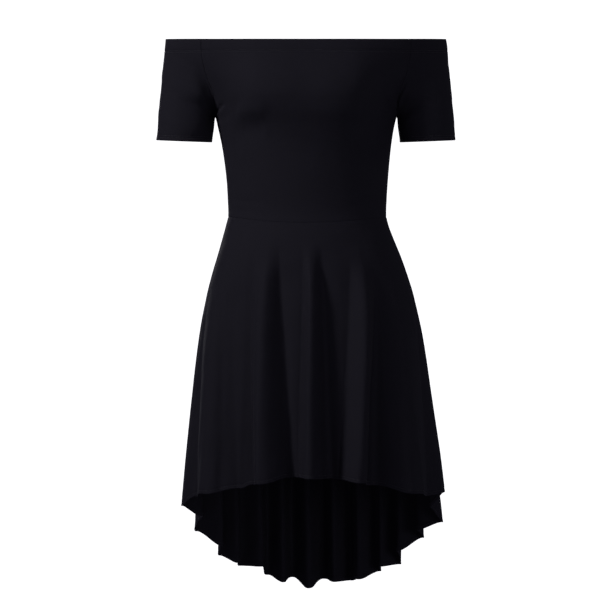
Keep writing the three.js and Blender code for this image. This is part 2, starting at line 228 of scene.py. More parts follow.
def cut_and_close(name, points, lift, wall, finish, replaced=None, seams=()):
    """A panel of cloth from its grid of outside points in millimetres, raised by lift along its
    own normals, sewn to its neighbours, and closed inwards by its wall. Returns the piece and
    its outside surface."""
    out = cloth_normals(points)
    outside = points + out * lift[..., None]
    for seam in seams:
        sew_edge(outside, **seam)
    normals = cloth_normals(outside)
    inside = outside - normals * np.broadcast_to(wall, lift.shape)[..., None]
    rows, columns = lift.shape
    count = rows * columns
    grid = np.arange(count).reshape(rows, columns)
    a, b, c, d = grid[:-1, :-1], grid[1:, :-1], grid[1:, 1:], grid[:-1, 1:]
    faces = [np.stack([a, b, c, d], -1).reshape(-1, 4)]
    faces.append(np.stack([a, d, c, b], -1).reshape(-1, 4) + count)
    rim = np.concatenate([grid[0, :-1], grid[:-1, -1], grid[-1, :0:-1], grid[:0:-1, 0]])
    following = np.roll(rim, -1)
    faces.append(np.stack([rim, following, following + count, rim + count], -1))
    faces = np.concatenate(faces)
    vertices = np.concatenate([outside.reshape(-1, 3), inside.reshape(-1, 3)]) / 1000
    mesh = bpy.data.meshes.new(name)
    mesh.from_pydata(vertices.tolist(), [], faces.tolist())
    mesh.polygons.foreach_set("use_smooth", np.ones(len(faces), bool))
    across = np.linalg.norm(np.diff(outside, axis=1), axis=-1)
    middle = columns // 2
    u = np.concatenate([np.zeros((rows, 1)), np.cumsum(across, axis=1)], axis=1)
    u = u - u[:, middle:middle + 1]
    down = np.linalg.norm(np.diff(outside, axis=0), axis=-1).mean(axis=1)
    v = np.concatenate([[0], np.cumsum(down)])[:, None] + 0 * u
    grain = np.tile(np.stack([u, v], -1).reshape(-1, 2), (2, 1)) / 1000
    layer = mesh.uv_layers.new(name="grain")
    corners = np.zeros(len(mesh.loops), np.int32)
    mesh.loops.foreach_get("vertex_index", corners)
    layer.data.foreach_set("uv", grain[corners].astype(np.float32).ravel())
    mesh.validate()
    piece = bpy.data.objects.new(name, mesh)
    bpy.context.scene.collection.objects.link(piece)
    mesh.materials.append(finish)
    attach(piece, "root")
    if replaced:
        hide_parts(replaced)
    return {"piece": piece, "outside": outside, "normals": normals, "wall": wall}


KNIT = {"column": 0.00115, "course": 0.0009, "lean": 1.7}  # loops in metres, lean in radians


def knit_jersey(name, colour, colour_worn):
    """Matte black jersey: fine columns of knitted loops that follow the cloth's grain, with
    painted shade in the hollows between them, faint mottling where the dye and the nap vary, and a
    soft grey sheen at a low angle."""
    made = bpy.data.materials.new(name)
    made.use_nodes = True
    nodes, links = made.node_tree.nodes, made.node_tree.links
    shader = nodes["Principled BSDF"]
    shader.inputs["Specular IOR Level"].default_value = 0.07
    shader.inputs["Sheen Weight"].default_value = 0.015
    shader.inputs["Sheen Roughness"].default_value = 0.45
    shader.inputs["Sheen Tint"].default_value = (0.55, 0.55, 0.68, 1)

    def node(kind, **values):
        new = nodes.new(kind)
        for key, value in values.items():
            if key in new.inputs:
                new.inputs[key].default_value = value
            else:
                setattr(new, key, value)
        return new

    def sums(operation, first, second):
        new = nodes.new("ShaderNodeMath")
        new.operation = operation
        for socket, value in zip(new.inputs, (first, second)):
            if isinstance(value, (int, float)):
                socket.default_value = value
            elif value is not None:
                links.new(value, socket)
        return new.outputs[0]

    grain = node("ShaderNodeUVMap", uv_map="grain")
    apart = nodes.new("ShaderNodeSeparateXYZ")
    links.new(grain.outputs["UV"], apart.inputs[0])
    wale = sums("MULTIPLY", apart.outputs["X"], 2 * math.pi / KNIT["column"])
    course = sums("MULTIPLY", apart.outputs["Y"], 2 * math.pi / KNIT["course"])
    lean = sums("MULTIPLY", sums("COSINE", wale, None), KNIT["lean"])
    loop = sums("SINE", sums("ADD", course, lean), None)
    column = sums("SINE", sums("MULTIPLY", wale, 0.5), None)
    column = sums("ABSOLUTE", column, None)
    knit = sums("ADD", sums("MULTIPLY", loop, 0.3), column)

    place = nodes.new("ShaderNodeTexCoord")
    mottle = node("ShaderNodeTexNoise", Scale=38.0, Detail=4.0, Roughness=0.6)
    nap = node("ShaderNodeTexNoise", Scale=900.0, Detail=3.0, Roughness=0.65)
    for texture in (mottle, nap):
        links.new(place.outputs["Object"], texture.inputs["Vector"])
    blend = nodes.new("ShaderNodeMix")
    blend.data_type = "RGBA"
    blend.inputs["A"].default_value = (*colour, 1)
    blend.inputs["B"].default_value = (*colour_worn, 1)
    dyed = sums("MULTIPLY", mottle.outputs[0], 0.75)
    mixed = sums("ADD", dyed, sums("MULTIPLY", nap.outputs[0], 0.35))
    links.new(sums("ADD", mixed, -0.15), blend.inputs["Factor"])
    # Painted shade: the knit's height also multiplies the colour, so the hollows between the loops
    # are darker.
    shade = nodes.new("ShaderNodeMix")
    shade.data_type = "RGBA"
    shade.blend_type = "MULTIPLY"
    shade.inputs["Factor"].default_value = 0.35
    links.new(blend.outputs["Result"], shade.inputs["A"])
    links.new(knit, shade.inputs["B"])
    links.new(shade.outputs["Result"], shader.inputs["Base Color"])
    rough = nodes.new("ShaderNodeMapRange")
    rough.inputs["To Min"].default_value = 0.74
    rough.inputs["To Max"].default_value = 0.95
    links.new(mottle.outputs[0], rough.inputs["Value"])
    links.new(rough.outputs["Result"], shader.inputs["Roughness"])
    loops = node("ShaderNodeBump", Strength=0.35, Distance=0.00018)
    links.new(knit, loops.inputs["Height"])
    fuzz = node("ShaderNodeBump", Strength=0.25, Distance=0.0003)
    links.new(nap.outputs[0], fuzz.inputs["Height"])
    links.new(loops.outputs["Normal"], fuzz.inputs["Normal"])
    links.new(fuzz.outputs["Normal"], shader.inputs["Normal"])
    return made


black_jersey = knit_jersey("black_jersey", (0.0080, 0.0073, 0.0114), (0.0122, 0.0113, 0.0168))


def bodice_rows(side_rows):
    """Drops down a bodice panel's seam edge: close together in the casing, to the waist."""
    casing = np.array([0, 0.3, 0.7, 1.3, 2.2, 4, 7, 10, 13, 16, 18, 19.2, 20, 20.8, 22, 24.5, 28])
    armhole = UNDERARM_DROP - (UNDERARM_DROP - casing[-1]) * np.linspace(1, 0, 42)[1:] ** 1.45
    side = np.linspace(UNDERARM_DROP, WAIST_DROP - 5, side_rows)[1:]
    waist = WAIST_DROP - np.array([3.2, 2.0, 1.2, 0.6, 0.15])
    return np.concatenate([casing, armhole, side, waist])


def bodice_points(centre, seam_drops, shares, waist_dip):
    """The outside of a bodice panel, as a grid of points, and its drops."""
    seam_drop = seam_drops[:, None]
    across = 2 * shares[None, :] - 1
    middle = np.cos(across * math.pi / 2) ** 2
    to_waist = np.clip((seam_drop - UNDERARM_DROP) / (WAIST_DROP - UNDERARM_DROP), 0, 1)
    dipped = neckline_dip(across * seam_angle(np.array(0.0)), seam_drop)
    drop = seam_drop + dipped + waist_dip * middle * to_waist
    return round_the_body(drop, centre + across * seam_angle(seam_drop)), drop


def casing_wall(drops):
    """How thick the cloth is at these drops: folded over the elastic, and single below it."""
    return np.where(drops[:, None] < CASING["height"] + 0.5, CASING["wall"], JERSEY_WALL)


# Where each pull line starts and ends, across and down. Under the bust on the wearer's right the
# cloth first swells, as the negative depth says, and then dips.
FRONT_PULLS = [
    {"start": (-149, 124), "end": (-132, 109), "width": 3.4, "depth": 2.2, "sharp": 1.0},
    {"start": (-147, 133), "end": (-118, 126), "width": 5.0, "depth": 0.6, "sharp": 1.0, "bow": 2},
    {"start": (149, 125), "end": (131, 104), "width": 3.8, "depth": 1.8, "sharp": 1.0},
    {"start": (147, 133), "end": (120, 125), "width": 5.0, "depth": 0.6, "sharp": 1.0, "bow": -2},
    {"start": (-104, 124), "end": (-62, 128), "width": 15.0, "depth": -2.8, "bow": -3},
    {"start": (-98, 154), "end": (-68, 157), "width": 15.0, "depth": 1.2, "bow": -3},
    {"start": (72, 148), "end": (116, 132), "width": 14.0, "depth": 1.6, "bow": 5},
    {"start": (-128, 262), "end": (-64, 270), "width": 6.0, "depth": 0.7, "sharp": 1.0, "bow": 3},
    {"start": (-129, 279), "end": (-78, 284), "width": 4.5, "depth": 0.6, "sharp": 1.0, "bow": 2},
    {"start": (130, 266), "end": (72, 274), "width": 5.5, "depth": 0.8, "sharp": 1.0, "bow": -3},
    {"start": (131, 250), "end": (92, 246), "width": 7.0, "depth": 0.5, "sharp": 1.0, "bow": -2},
]
front_drops = bodice_rows(46)
front_shares = edge_spread(150)
points, drop = bodice_points(0.0, front_drops, front_shares, WAIST_DIP)
bust_side = np.hypot(points[..., 0], BUST["between"]) - BUST["side"]
bust_across = bust_side / np.where(bust_side > 0, BUST["outer"], BUST["inner"])
to_left = (points[..., 0] - BUST_BELOW["from"]) / (BUST_BELOW["to"] - BUST_BELOW["from"])
to_left = np.clip(to_left, 0, 1) ** 2 * (3 - 2 * np.clip(to_left, 0, 1))
bust_below = BUST_BELOW["right"] * (1 - to_left) + BUST_BELOW["left"] * to_left
bust_along = (drop - BUST["drop"]) / np.where(drop < BUST["drop"], BUST["above"], bust_below)
seam_out = read_sections(BODY_SECTIONS, "half_width", drop) * np.sin(seam_angle(drop))
from_seam = np.clip((seam_out - np.abs(points[..., 0])) / BUST["seam_ease"], 0, 1)
bust = BUST["height"] * np.exp(-(bust_across**2) - bust_along**2)
points[..., 1] -= bust * from_seam * (2 - from_seam)
seam_away = np.minimum(front_shares, 1 - front_shares)[None, :] * BODICE_WIDTHS["front"]
waist_away = (WAIST_DROP - front_drops)[:, None]
front_lift = (
    pull_lines(points[..., 0], drop, FRONT_PULLS)
    + casing_lift(front_drops[:, None], points[..., 0], 0.7)
    - seam_sink(seam_away, drop, 1.3)
    - seam_sink(waist_away, points[..., 0], 4.1, SEAM_GROOVE["waist"])
)
bodice_wall = casing_wall(front_drops)
front_bodice = cut_and_close(
    "front_bodice", points, front_lift, bodice_wall, black_jersey, "bodice_front"
)

# Back bodice. The same jersey and the same casing, cut flatter, with no bust, and sewn to the
# front bodice down the sides. It falls in a few soft lines from the underarms to the waist.
BACK_PULLS = [
    {"start": (-148, 128), "end": (-112, 104), "width": 4.0, "depth": 1.6, "sharp": 1.0},
    {"start": (-147, 134), "end": (-98, 128), "width": 5.5, "depth": 0.9, "sharp": 1.0, "bow": 2},
    {"start": (148, 128), "end": (116, 100), "width": 4.2, "depth": 1.7, "sharp": 1.0},
    {"start": (146, 136), "end": (102, 126), "width": 5.2, "depth": 0.8, "sharp": 1.0, "bow": -2},
    {"start": (-96, 232), "end": (-18, 246), "width": 8.0, "depth": 1.0, "bow": 5},
    {"start": (22, 250), "end": (102, 236), "width": 7.0, "depth": 0.9, "bow": 4},
    {"start": (-78, 264), "end": (26, 272), "width": 6.0, "depth": 0.9, "bow": 4},
    {"start": (6, 281), "end": (88, 272), "width": 5.0, "depth": 0.7, "bow": 3},
    {"start": (-30, 60), "end": (-12, 150), "width": 11.0, "depth": 0.7, "bow": 4},
    {"start": (24, 70), "end": (16, 160), "width": 12.0, "depth": 0.6, "bow": -4},
]
back_shares = edge_spread(124)
points, drop = bodice_points(math.pi, front_drops, back_shares, 0.0)
seam_away = np.minimum(back_shares, 1 - back_shares)[None, :] * BODICE_WIDTHS["back"]
back_lift = (
    pull_lines(points[..., 0], drop, BACK_PULLS)
    + casing_lift(front_drops[:, None], points[..., 0], 2.9)
    - seam_sink(seam_away, drop, 1.3)
    - seam_sink(waist_away, points[..., 0], 5.6, SEAM_GROOVE["waist"])
)
underarm_row = int(np.searchsorted(front_drops, UNDERARM_DROP - 0.01))
side_rows = slice(underarm_row, None)
side_seams = [
    {"edge": "left", "rows": side_rows, "line": front_bodice["outside"][side_rows, -1]},
    {"edge": "right", "rows": side_rows, "line": front_bodice["outside"][side_rows, 0]},
]
back_bodice = cut_and_close(
    "back_bodice", points, back_lift, bodice_wall, black_jersey, "bodice_back",
    seams=side_seams
)

# Sleeves. One piece of jersey each, whose top edge is part of the neckline, sewn to both bodice
# pieces down the armhole and to itself below the underarm. The hem is turned up and stitched
# with two rows. Pull lines run up from the underarm, where the arm folds the cloth.
CUFF = {
    "drop": 168.0, "turned": 8.6, "wall": 1.8, "stitches": (5.0, 8.2),
    "lower_in_front": 2.8, "lower_inside": 1.8,
}
SEAM_GAP = 0.3
SLEEVE_ROUND = {"cloth": 280.0, "arm": 270.0}
SLEEVE_RIPPLE = {"height": 0.5, "period": 61.0, "from_seam": 40}
# The armhole seam draws the sleeve to itself, all but a free share over the arm. From a drop on
# to the underarm the free share grows, and a little past the underarm the draw ends.
ARMHOLE_DRAW = {"free": 0.35, "from": 92, "freed_below": 0.45, "past_underarm": 14}
# Level sections of the left sleeve: how far the loop over the arm has become a tube round it,
# where the tube's inside and outside are, and half its depth.
SLEEVE_SECTIONS = [
    {"drop": 0, "tube": 0, "inside": 148.8, "outside": 242, "half_depth": 47},
    {"drop": 33, "tube": 0.27, "inside": 148.8, "outside": 242, "half_depth": 47},
    {"drop": 66, "tube": 0.56, "inside": 148.8, "outside": 242, "half_depth": 47},
    {"drop": 98, "tube": 0.8, "inside": 148.8, "outside": 242, "half_depth": 47},
    {"drop": 122, "tube": 0.955, "inside": 148.8, "outside": 242, "half_depth": 47},
    {"drop": 140, "tube": 1, "inside": 149.6, "outside": 242.6, "half_depth": 47},
    {"drop": 168, "tube": 1, "inside": 153.5, "outside": 244.5, "half_depth": 46},
]
# A sleeve's pull lines: how far round the arm, in millimetres from the front seam edge, and drop.
LEFT_SLEEVE_PULLS = [
    {"start": (3, 122), "end": (14, 72), "width": 5.0, "depth": 2.0, "sharp": 1.0, "bow": -3},
    {"start": (7, 134), "end": (30, 90), "width": 6.5, "depth": 0.9, "sharp": 0.6, "bow": -3},
    {"start": (5, 150), "end": (42, 118), "width": 6.0, "depth": 0.9, "sharp": 0.6},
    {"start": (264, 122), "end": (250, 70), "width": 5.0, "depth": 2.4, "sharp": 1.0, "bow": 3},
    {"start": (262, 138), "end": (232, 96), "width": 6.0, "depth": 1.2, "sharp": 0.6, "bow": 3},
    {"start": (120, 30), "end": (138, 112), "width": 12.0, "depth": 0.7},
]
RIGHT_SLEEVE_PULLS = [
    {"start": (3, 122), "end": (11, 78), "width": 4.0, "depth": 2.0, "sharp": 1.0, "bow": -2},
    {"start": (24, 168), "end": (15, 66), "width": 13.0, "depth": 5.5, "sharp": 1.0, "bow": -3},
    {"start": (6, 134), "end": (26, 98), "width": 5.0, "depth": 1.3, "sharp": 0.6, "bow": -2},
    {"start": (264, 120), "end": (252, 74), "width": 5.0, "depth": 2.2, "sharp": 1.0, "bow": 3},
    {"start": (260, 140), "end": (236, 104), "width": 6.0, "depth": 1.0, "sharp": 0.6, "bow": 3},
    {"start": (140, 40), "end": (126, 120), "width": 12.0, "depth": 0.6},
]


def sleeve_points(shares, seam_drops):
    """The outside of the left sleeve. shares run from the front seam edge, over the outside of
    the arm, to the back seam edge."""
    around, seam_drop = shares[None, :], seam_drops[:, None]
    level = np.minimum(seam_drop, UNDERARM_DROP)
    to_seam = np.abs(1 - 2 * around)
    in_front = around < 0.5
    loop_seam = seam_angle(np.array(0.0))
    loop_angle = math.pi / 2 + (loop_seam - math.pi / 2) * to_seam
    turned = np.where(in_front, loop_angle, math.pi - loop_angle)
    on_loop = round_the_body(0 * seam_drop, turned)
    inside = read_sections(SLEEVE_SECTIONS, "inside", seam_drop)
    outside = read_sections(SLEEVE_SECTIONS, "outside", seam_drop)
    half_depth = read_sections(SLEEVE_SECTIONS, "half_depth", seam_drop)
    turn = around * 2 * math.pi
    x = (outside + inside) / 2 - (outside - inside) / 2 * np.cos(turn)
    y = -half_depth * np.sin(turn)
    tube = np.minimum(read_sections(SLEEVE_SECTIONS, "tube", seam_drop), 1)[..., None]
    on_tube = np.stack([x, y, 0 * x], axis=-1)
    points = on_loop * (1 - tube) + on_tube * tube
    seam_drop_dipped = level + neckline_dip(loop_seam, level)
    armhole = seam_angle(level)
    seam_point = round_the_body(seam_drop_dipped, np.where(in_front, armhole, math.pi - armhole))
    plain = round_the_body(0 * seam_drop, np.where(in_front, loop_seam, math.pi - loop_seam))
    at_tube = np.stack([inside + 0 * x, 0 * x, 0 * x], axis=-1)
    plain = plain * (1 - tube) + at_tube * tube
    draw_from = ARMHOLE_DRAW["from"]
    to_underarm = np.clip((seam_drop - draw_from) / (UNDERARM_DROP - draw_from), 0, 1)
    eased = to_underarm**2 * (3 - 2 * to_underarm)
    free = ARMHOLE_DRAW["free"] + ARMHOLE_DRAW["freed_below"] * eased
    near_seam = np.clip((to_seam - free) / (1 - free), 0, 1) ** 2
    beyond = np.clip((seam_drop - UNDERARM_DROP) / ARMHOLE_DRAW["past_underarm"], 0, 1)
    near_seam = (near_seam * (1 - beyond) ** 2)[..., None]
    points = points + (seam_point - plain) * near_seam
    to_cuff = np.clip((seam_drop - UNDERARM_DROP) / (CUFF["drop"] - UNDERARM_DROP), 0, 1)
    lean = CUFF["lower_in_front"] * np.sin(turn) + CUFF["lower_inside"] * np.cos(turn)
    dipped = seam_drop + neckline_dip(loop_angle, level) + lean * to_cuff
    points[..., 2] = CASING["height"] / 2 - dipped
    points[..., 0] += SEAM_GAP
    return points, dipped


HEM_RELIEF = {"step": 0.35, "stitch_sink": 0.3, "roping": 0.22, "rounding": 0.8}


def hem_lift(above_edge, along, height, phase):
    """A turned-up hem: a slight step, sunk at its two rows of stitches, and a rounded, roping
    edge."""
    fold = np.clip(1 - above_edge / height, 0, 1)
    step = HEM_RELIEF["step"] * fold * np.clip(above_edge / 1.5, 0, 1)
    rows = -HEM_RELIEF["stitch_sink"] * np.exp(-(((above_edge - 0.62 * height) / 1.1) ** 2))
    rows = rows - HEM_RELIEF["stitch_sink"] * np.exp(-(((above_edge - height) / 1.3) ** 2))
    twisted = wander(along + 0.9 * above_edge, 9.5, phase)
    roping = HEM_RELIEF["roping"] * np.clip(fold * 3, 0, 1) * twisted
    to_edge = np.clip(1 - above_edge / 0.9, 0, 1)
    rounded = -HEM_RELIEF["rounding"] * (1 - np.sqrt(1 - to_edge**2))
    return step + rows + roping + rounded


casing_rows = front_drops[front_drops <= UNDERARM_DROP]
tube_rows = np.linspace(UNDERARM_DROP, CUFF["drop"] - 12, 12)[1:]
above_cuff = [11, 10, 9, 8, 7.1, 6.2, 5.3, 4.2, 2.6, 1.6, 0.9, 0.4, 0.15, 0]
cuff_rows = CUFF["drop"] - np.array(above_cuff)
sleeve_drops = np.concatenate([casing_rows, tube_rows, cuff_rows])
sleeve_shares = edge_spread(96, SLEEVE_ROUND["cloth"])
sleeves = {}
for side, pulls, phase in ((1, LEFT_SLEEVE_PULLS, 0.4), (-1, RIGHT_SLEEVE_PULLS, 3.3)):
    word = "left" if side > 0 else "right"
    points, drop = sleeve_points(sleeve_shares, sleeve_drops)
    round_arm = sleeve_shares[None, :] * SLEEVE_ROUND["arm"] + 0 * drop
    seam_away = np.minimum(sleeve_shares, 1 - sleeve_shares)[None, :] * SLEEVE_ROUND["cloth"]
    above_hem = (CUFF["drop"] - sleeve_drops)[:, None]
    inner = np.clip(seam_away / SLEEVE_RIPPLE["from_seam"], 0, 1)
    ripples = wander(drop + 0.4 * round_arm, SLEEVE_RIPPLE["period"], phase)
    lift = (
        pull_lines(round_arm, drop, pulls)
        + casing_lift(sleeve_drops[:, None], round_arm, 1.7 + phase)
        + hem_lift(above_hem, round_arm, CUFF["stitches"][1], phase)
        - seam_sink(seam_away, drop, 1.3)
        + SLEEVE_RIPPLE["height"] * ripples * inner
    )
    wall = np.where(above_hem < CUFF["turned"], CUFF["wall"], casing_wall(sleeve_drops))
    points[..., 0] *= side
    if side < 0:
        points, lift = points[:, ::-1], lift[:, ::-1]
    armhole = slice(0, underarm_row + 1)
    front_line = front_bodice["outside"][armhole, -1 if side > 0 else 0]
    back_line = back_bodice["outside"][armhole, 0 if side > 0 else -1]
    edges = ("left", "right") if side > 0 else ("right", "left")
    seams = [
        {"edge": edges[0], "rows": armhole, "line": front_line},
        {"edge": edges[1], "rows": armhole, "line": back_line},
    ]
    sleeves[word] = cut_and_close(
        word + "_sleeve", points, lift, wall, black_jersey, "sleeve_" + word,
        seams=seams
    )

# Front skirt. One flared piece of the same jersey, sewn flat into the waist with no gathers, so
# its spare width falls into soft, rounded folds that open towards the hem. The hem is turned up
# narrowly and curves up to its shortest at the middle.
SKIRT_HEM = {"height": 6.5, "turned": 6.8, "wall": 1.7, "stitches": 5.2}
# Each row is a crest or a valley of the folds, from the wearer's right to the left: its angle
# from centre front at the waist and at the hem, the drop where it starts, how far it stands out
# at the hem, and the hem's drop there.
FRONT_FOLDS = [
    {"waist": -90, "hem": -90, "start": 380, "reach": 12, "drop": 765},
    {"waist": -79, "hem": -74, "start": 420, "reach": -8, "drop": 746},
    {"waist": -70, "hem": -54, "start": 370, "reach": 13, "drop": 738},
    {"waist": -50, "hem": -41, "start": 345, "reach": -22, "drop": 729},
    {"waist": -37, "hem": -31.5, "start": 335, "reach": -25, "drop": 722},
    {"waist": -27, "hem": -24, "start": 330, "reach": 12, "drop": 719},
    {"waist": -20, "hem": -10.5, "start": 322, "reach": -28, "drop": 709},
    {"waist": -3, "hem": -8, "start": 330, "reach": -24, "drop": 709},
    {"waist": 1, "hem": -2, "start": 325, "reach": 12, "drop": 710},
    {"waist": 7.5, "hem": 9.5, "start": 322, "reach": -28, "drop": 711},
    {"waist": 27, "hem": 12.5, "start": 335, "reach": -24, "drop": 712},
    {"waist": 35, "hem": 20.5, "start": 335, "reach": 13, "drop": 717},
    {"waist": 43, "hem": 33, "start": 350, "reach": -27, "drop": 723},
    {"waist": 62, "hem": 50, "start": 400, "reach": 11, "drop": 737},
    {"waist": 77, "hem": 72, "start": 430, "reach": -9, "drop": 745},
    {"waist": 90, "hem": 90, "start": 400, "reach": 14, "drop": 742},
]
# The folds open evenly at the sides and sooner in the middle, each after an eased start.
FOLD_GROWTH = {"sides": 1.2, "middle": 0.5, "ease_in": 85.0}
# The folds that show most from the front are drawn in further along a sharper line, steeper on
# one side than on the other: where each line starts and ends, across and down.
FRONT_TROUGHS = [
    {"start": (-44, 338), "end": (-25, 706), "depth": 6, "left": 13, "right": 6},
    {"start": (24, 342), "end": (38, 706), "depth": 6, "left": 9, "right": 10},
    {"start": (113, 392), "end": (108, 720), "depth": 10, "left": 6, "right": 15},
    {"start": (-135, 395), "end": (-138, 732), "depth": 4, "left": 6, "right": 16},
]
TROUGH = {"radius": 2.0, "sway": 1.2}


def trough_lines(across, drop, lines):
    """Sharp, uneven valleys that deepen towards the hem."""
    lift = np.zeros(across.shape)
    for line in lines:
        (start, above), (end, below) = line["start"], line["end"]
        t = np.clip((drop - above) / (below - above), 0, 1.1)
        off = across - (start + (end - start) * t + TROUGH["sway"] * np.sin(6 * t + start))
        wide = np.where(off < 0, line["left"], line["right"]) * (0.55 + 0.45 * t)
        rounded = np.sqrt(off**2 + TROUGH["radius"] ** 2) - TROUGH["radius"]
        lift = lift - line["depth"] * t**0.6 * np.exp(-rounded / wide)
    return lift


def skirt_points(folds, sharpness, columns_each, waist_dip, row_count):
    """The outside of a skirt panel. Its columns follow the folds; its rows run to the hem. Also
    returns each point's drop, its way above the hem and below the waist, the share of the panel's
    length that it is down, and its angle."""
    between = np.arange(columns_each) / columns_each
    edge = np.array([0, 0.012, 0.03, 0.055, 0.09])
    first = np.concatenate([edge, between[between > 0.12]])
    last = np.concatenate([between[between < 0.88], 1 - edge[::-1]])
    steps = [(0, t) for t in first]
    steps += [(i, t) for i in range(1, len(folds) - 2) for t in between]
    steps += [(len(folds) - 2, t) for t in last]
    index = np.array([i for i, t in steps])
    share = np.array([t for i, t in steps])
    rising = np.array([folds[i]["reach"] < folds[i + 1]["reach"] for i in index])
    cusp = np.where(rising, np.sin(share * math.pi / 2), 1 - np.cos(share * math.pi / 2))
    round_wave = (1 - np.cos(share * math.pi)) / 2
    wave = round_wave * (1 - sharpness) + cusp * sharpness
    columns = {key: np.array([row[key] for row in folds], float) for key in folds[0]}

    def between_lines(key, weight):
        return columns[key][index] * (1 - weight) + columns[key][index + 1] * weight

    hem_drop = between_lines("drop", share**3 * (6 * share**2 - 15 * share + 10))[None, :]
    waist_angle = np.radians(between_lines("waist", share))[None, :]
    hem_angle = np.radians(between_lines("hem", share))[None, :]
    waist_drop = WAIST_DROP + 0.15 + waist_dip * np.cos(waist_angle) ** 2
    top = np.array([0, 0.5, 1.1, 2.0, 3.2, 5.0])[:, None]
    hem = np.array([12, 9.5, 8, 7.2, 6.5, 5.8, 4.8, 4, 3.2, 2.2, 1.3, 0.7, 0.3, 0.1, 0])[:, None]
    main = np.linspace(0, 1, row_count)[1:-1, None]
    main = (waist_drop + top[-1]) * (1 - main) + (hem_drop - hem[0]) * main
    drop = np.concatenate([waist_drop + top, main, hem_drop - hem])
    whole = (drop - waist_drop) / (hem_drop - waist_drop)
    angle = waist_angle * (1 - whole) + hem_angle * whole

    to_middle = np.cos(hem_angle) ** 2
    growth = FOLD_GROWTH["sides"] * (1 - to_middle) + FOLD_GROWTH["middle"] * to_middle

    def stand_out(which):
        start = columns["start"][which][None, :]
        opened = np.clip((drop - start) / (hem_drop - start), 0, None)
        begun = np.clip((drop - start) / FOLD_GROWTH["ease_in"], 0, 1)
        begun = begun * begun * (3 - 2 * begun)
        return columns["reach"][which][None, :] * opened**growth * begun

    reach = stand_out(index) * (1 - wave) + stand_out(index + 1) * wave
    points = round_the_body(drop, angle, reach)
    return points, drop, hem_drop - drop, drop - waist_drop, whole, angle


HIP_RADIUS = 160.0
RIPPLES = {"height": 0.9, "period": 41.0, "from_seam": 25, "from_waist": 40}
SLOW_WAVES = {"height": 0.5, "period": 133.0}
HEM_FLICK = {"height": 1.1, "period": 58.0, "reach": 45}


def skirt_lift(points, above_hem, below_waist, whole, angle, phase):
    """The skirt's finer relief: soft uneven ripples between the folds, the waist seam's groove
    with its slight pucker, the side seams, and the hem."""
    round_hips = angle * HIP_RADIUS
    run = np.linalg.norm(np.diff(points, axis=1), axis=-1)
    run = np.concatenate([np.zeros((len(run), 1)), np.cumsum(run, axis=1)], axis=1)
    seam_away = np.minimum(run, run[:, -1:] - run)
    swaying = round_hips * (1 + 0.08 * np.sin(3 * whole))
    ripples = RIPPLES["height"] * wander(swaying, RIPPLES["period"], phase) * whole
    slanting = below_waist + 0.5 * round_hips
    slow = SLOW_WAVES["height"] * wander(slanting, SLOW_WAVES["period"], phase + 1.1)
    inner = np.clip(seam_away / RIPPLES["from_seam"], 0, 1)
    inner = inner * np.clip(below_waist / RIPPLES["from_waist"], 0, 1)
    near_hem = np.clip(1 - above_hem / HEM_FLICK["reach"], 0, 1) ** 2
    flick = HEM_FLICK["height"] * wander(run, HEM_FLICK["period"], phase + 2.0) * near_hem
    return (
        (ripples + slow + flick) * inner
        - seam_sink(below_waist, round_hips, phase + 0.6, SEAM_GROOVE["waist"])
        - seam_sink(seam_away, below_waist, phase)
        + hem_lift(above_hem, run, SKIRT_HEM["height"], phase)
    )


points, drop, above_hem, below_waist, whole, angle = skirt_points(
    FRONT_FOLDS, sharpness=0.5, columns_each=14, waist_dip=WAIST_DIP, row_count=112
)
lift = skirt_lift(points, above_hem, below_waist, whole, angle, 0.9)
lift = lift + trough_lines(points[..., 0], drop, FRONT_TROUGHS)
skirt_wall = np.where(above_hem < SKIRT_HEM["turned"], SKIRT_HEM["wall"], JERSEY_WALL)
front_skirt = cut_and_close(
    "front_skirt", points, lift, skirt_wall, black_jersey, "skirt_front",
    seams=[{"edge": "top", "line": front_bodice["outside"][-1]}]
)
front_skirt["above_hem"] = above_hem[:, 0]

